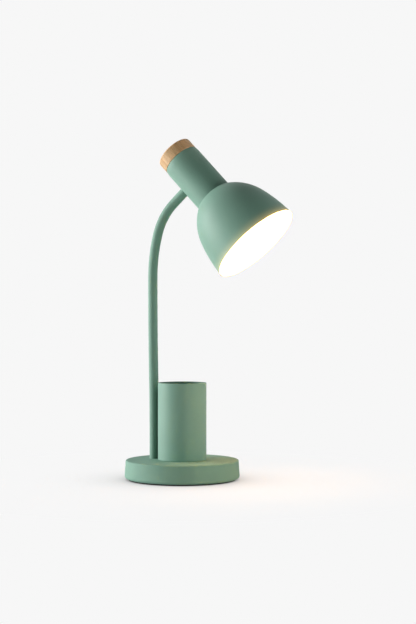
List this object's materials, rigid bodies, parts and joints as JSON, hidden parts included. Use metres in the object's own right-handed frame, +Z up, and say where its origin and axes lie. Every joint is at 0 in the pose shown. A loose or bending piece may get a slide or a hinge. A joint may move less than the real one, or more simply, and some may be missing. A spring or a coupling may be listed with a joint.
{
  "type": "desk lamp",
  "caption": "Desk lamp with a bell shade on a flexible neck, a wooden end cap and a round weighted base that carries a cylindrical pen cup.",
  "frame": {"origin": "middle of the underside of the base pad, on the table", "axes": "+Z up, +X the way the head points, the neck stands behind the cup at -X"},
  "size_m": [0.2546, 0.1694, 0.5015],
  "materials": {
    "green_paint": "matt powder coat",
    "green_silicone": "matt silicone",
    "beech": "oiled beech",
    "black_foam": "matt foam",
    "black_plastic": "fine grained",
    "cream_plastic": "moulded",
    "zinc_steel": "zinc plated",
    "steel_hose": "bright",
    "ballast_iron": "raw cast",
    "contact_brass": "bright",
    "bulb_nickel": "nickel plated",
    "bulb_white": "satin",
    "bulb_opal": "opal",
    "lead_pvc": "smooth"
  },
  "bodies": {
    "base": {"base_cover": "green_paint", "ballast_disc": "ballast_iron", "bottom_plate": "black_plastic", "bottom_screws": "zinc_steel", "base_pad": "black_foam", "pen_cup": "green_paint", "cup_screw": "zinc_steel", "neck_nipple": "zinc_steel", "neck_washer": "zinc_steel", "neck_nut": "zinc_steel", "lower_sleeve": "green_silicone", "lower_hose": "steel_hose", "cord_gland": "black_plastic", "switch_housing": "black_plastic", "terminal_block": "cream_plastic", "base_leads": "lead_pvc"},
    "rocker": {"switch_rocker": "black_plastic"},
    "neck_link_01": {"link_sleeve_01": "green_silicone", "link_hose_01": "steel_hose"},
    "neck_link_02": {"link_sleeve_02": "green_silicone", "link_hose_02": "steel_hose"},
    "neck_link_03": {"link_sleeve_03": "green_silicone", "link_hose_03": "steel_hose"},
    "neck_link_04": {"link_sleeve_04": "green_silicone", "link_hose_04": "steel_hose"},
    "neck_link_05": {"link_sleeve_05": "green_silicone", "link_hose_05": "steel_hose"},
    "neck_link_06": {"link_sleeve_06": "green_silicone", "link_hose_06": "steel_hose"},
    "neck_link_07": {"link_sleeve_07": "green_silicone", "link_hose_07": "steel_hose"},
    "neck_link_08": {"link_sleeve_08": "green_silicone", "link_hose_08": "steel_hose"},
    "neck_link_09": {"link_sleeve_09": "green_silicone", "link_hose_09": "steel_hose"},
    "neck_link_10": {"link_sleeve_10": "green_silicone", "link_hose_10": "steel_hose"},
    "neck_link_11": {"link_sleeve_11": "green_silicone", "link_hose_11": "steel_hose"},
    "head": {"link_sleeve_12": "green_silicone", "link_hose_12": "steel_hose", "head_ferrule": "green_paint", "head_saddle": "zinc_steel", "head_nut": "zinc_steel", "neck_tube": "green_paint", "shade": "green_paint", "wood_cap": "beech", "cap_screws": "zinc_steel", "holder_body": "cream_plastic", "shade_ring": "cream_plastic", "holder_shell": "contact_brass", "holder_contact": "contact_brass", "holder_rod": "zinc_steel", "rod_nut": "zinc_steel", "head_lead": "lead_pvc"},
    "bulb": {"bulb_cap": "bulb_nickel", "bulb_tip": "contact_brass", "bulb_housing": "bulb_white", "bulb_globe": "bulb_opal"}
  },
  "joints": [
    {"name": "neck_bend_1", "type": "hinge", "parent": "base", "child": "neck_link_01", "pos_m": [-0.04701, 0, 0.14899], "axis": [0, 1, 0], "range_deg": [-9, 9]},
    {"name": "neck_side_1", "type": "hinge", "parent": "neck_link_01", "child": "neck_link_02", "pos_m": [-0.04739, 0, 0.17022], "axis": [0.9999, 0, 0.0165], "range_deg": [-9, 9]},
    {"name": "neck_bend_2", "type": "hinge", "parent": "neck_link_02", "child": "neck_link_03", "pos_m": [-0.04771, 0, 0.19145], "axis": [0, 1, 0], "range_deg": [-9, 9]},
    {"name": "neck_side_2", "type": "hinge", "parent": "neck_link_03", "child": "neck_link_04", "pos_m": [-0.04797, 0, 0.21267], "axis": [0.9999, 0, 0.011], "range_deg": [-9, 9]},
    {"name": "neck_bend_3", "type": "hinge", "parent": "neck_link_04", "child": "neck_link_05", "pos_m": [-0.04817, 0, 0.2339], "axis": [0, 1, 0], "range_deg": [-9, 9]},
    {"name": "neck_side_3", "type": "hinge", "parent": "neck_link_05", "child": "neck_link_06", "pos_m": [-0.04832, 0, 0.25513], "axis": [1, 0, 0.0055], "range_deg": [-9, 9]},
    {"name": "neck_bend_4", "type": "hinge", "parent": "neck_link_06", "child": "neck_link_07", "pos_m": [-0.0484, 0, 0.27636], "axis": [0, 1, 0], "range_deg": [-9, 9]},
    {"name": "neck_side_4", "type": "hinge", "parent": "neck_link_07", "child": "neck_link_08", "pos_m": [-0.04843, 0, 0.29758], "axis": [1, 0, 0], "range_deg": [-9, 9]},
    {"name": "neck_bend_5", "type": "hinge", "parent": "neck_link_08", "child": "neck_link_09", "pos_m": [-0.04748, 0, 0.31957], "axis": [0, 1, 0], "range_deg": [-9, 9]},
    {"name": "neck_side_5", "type": "hinge", "parent": "neck_link_09", "child": "neck_link_10", "pos_m": [-0.04463, 0, 0.3414], "axis": [0.985, 0, -0.1725], "range_deg": [-9, 9]},
    {"name": "neck_bend_6", "type": "hinge", "parent": "neck_link_10", "child": "neck_link_11", "pos_m": [-0.03989, 0, 0.3629], "axis": [0, 1, 0], "range_deg": [-9, 9]},
    {"name": "neck_side_6", "type": "hinge", "parent": "neck_link_11", "child": "head", "pos_m": [-0.02991, 0, 0.38661], "axis": [0.8594, 0, -0.5113], "range_deg": [-9, 9]},
    {"name": "switch_rock", "type": "hinge", "parent": "base", "child": "rocker", "pos_m": [-0.06292, 0.0528, 0.01487], "axis": [0.051, -0.0428, 0.9978], "range_deg": [0, 22]},
    {"name": "bulb_unscrew", "type": "slide", "parent": "head", "child": "bulb", "axis": [0.6871, 0, -0.7266], "range_m": [0, 0.022]}
  ]
}
